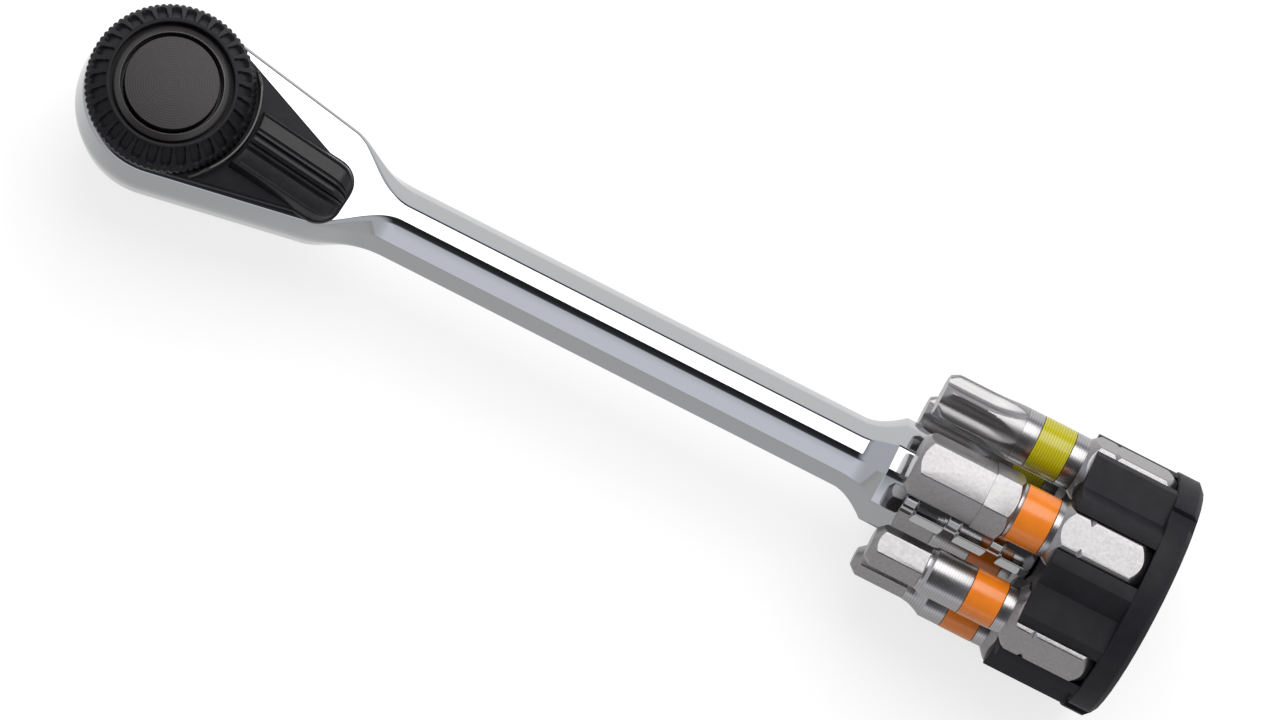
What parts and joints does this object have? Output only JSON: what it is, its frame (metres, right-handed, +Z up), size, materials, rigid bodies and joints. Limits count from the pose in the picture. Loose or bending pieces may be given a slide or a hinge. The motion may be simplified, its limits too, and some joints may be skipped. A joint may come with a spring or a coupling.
{
  "type": "micro ratchet",
  "caption": "Small forged ratchet with a hexagon drive socket, thumb dial and reversing lever, and a slotted bit holder with colour-banded bits that pushes onto the handle's tail.",
  "frame": {"origin": "below the middle of the tool's box, on the surface that the holder's flange stands on", "axes": "+X along the handle from the head to the bit holder, +Z up along the drive axis to the dial"},
  "size_m": [0.1188, 0.0261, 0.0262],
  "materials": {
    "chrome": "mirror polished",
    "steel": "ground and hardened",
    "nickel": "satin nickel plate",
    "spring": "oiled spring steel",
    "black": "semi-gloss black",
    "disc": "turned, dark satin",
    "holder": "matte moulded",
    "rubber": "plain",
    "orange": "glossy colour band",
    "lime": "glossy colour band"
  },
  "bodies": {
    "body": {"ratchet_body": "chrome", "thrust_washer": "steel", "retaining_ring": "spring", "pawl_pin": "steel", "tail_o_ring": "rubber"},
    "drive": {"drive_gear": "steel", "dial": "black", "dial_cap": "disc", "dial_screw": "steel", "bit_magnet": "nickel"},
    "lever": {"selector_lever": "black", "plunger_spring": "spring"},
    "pawl": {"pawl": "steel"},
    "plunger": {"plunger": "steel"},
    "holder": {"bit_holder": "holder"},
    "bit_hex_6": {"bit_hex_6": "nickel", "band_hex_6": "orange"},
    "bit_hex_4": {"bit_hex_4": "nickel", "band_hex_4": "orange"},
    "bit_hex_3": {"bit_hex_3": "nickel", "band_hex_3": "orange"},
    "bit_hex_5": {"bit_hex_5": "nickel", "band_hex_5": "orange"},
    "bit_lobe_25": {"bit_lobe_25": "nickel", "band_lobe_25": "lime"},
    "bit_lobe_30": {"bit_lobe_30": "nickel", "band_lobe_30": "lime"}
  },
  "joints": [
    {"name": "drive_spin", "type": "hinge", "parent": "body", "child": "drive", "pos_m": [-0.0503, 0, 0.0131], "axis": [0, 0, 1], "continuous": true},
    {"name": "lever_turn", "type": "hinge", "parent": "body", "child": "lever", "pos_m": [-0.0503, 0, 0.0131], "axis": [0, 0, 1], "range_deg": [0, 12]},
    {"name": "pawl_rock", "type": "hinge", "parent": "body", "child": "pawl", "pos_m": [-0.0429, 0, 0.0131], "axis": [0, 0, 1], "range_deg": [0, 10]},
    {"name": "plunger_slide", "type": "slide", "parent": "lever", "child": "plunger", "axis": [0.9945, -0.1045, 0], "range_m": [0, 0.0005], "stiffness_N_per_m": 200, "springref_m": -0.0005, "deforming": ["plunger_spring"]},
    {"name": "holder_pull", "type": "slide", "parent": "body", "child": "holder", "axis": [1, 0, 0], "range_m": [0, 0.01]},
    {"name": "bit_hex_6_pull", "type": "slide", "parent": "holder", "child": "bit_hex_6", "axis": [-1, 0, 0], "range_m": [0, 0.012]},
    {"name": "bit_hex_4_pull", "type": "slide", "parent": "holder", "child": "bit_hex_4", "axis": [-1, 0, 0], "range_m": [0, 0.012]},
    {"name": "bit_hex_3_pull", "type": "slide", "parent": "holder", "child": "bit_hex_3", "axis": [-1, 0, 0], "range_m": [0, 0.012]},
    {"name": "bit_hex_5_pull", "type": "slide", "parent": "holder", "child": "bit_hex_5", "axis": [-1, 0, 0], "range_m": [0, 0.012]},
    {"name": "bit_lobe_25_pull", "type": "slide", "parent": "holder", "child": "bit_lobe_25", "axis": [-1, 0, 0], "range_m": [0, 0.012]},
    {"name": "bit_lobe_30_pull", "type": "slide", "parent": "holder", "child": "bit_lobe_30", "axis": [-1, 0, 0], "range_m": [0, 0.012]}
  ],
  "couplings": [
    {"joint": "pawl_rock", "follows": "lever_turn", "ratio": 0.83333}
  ]
}
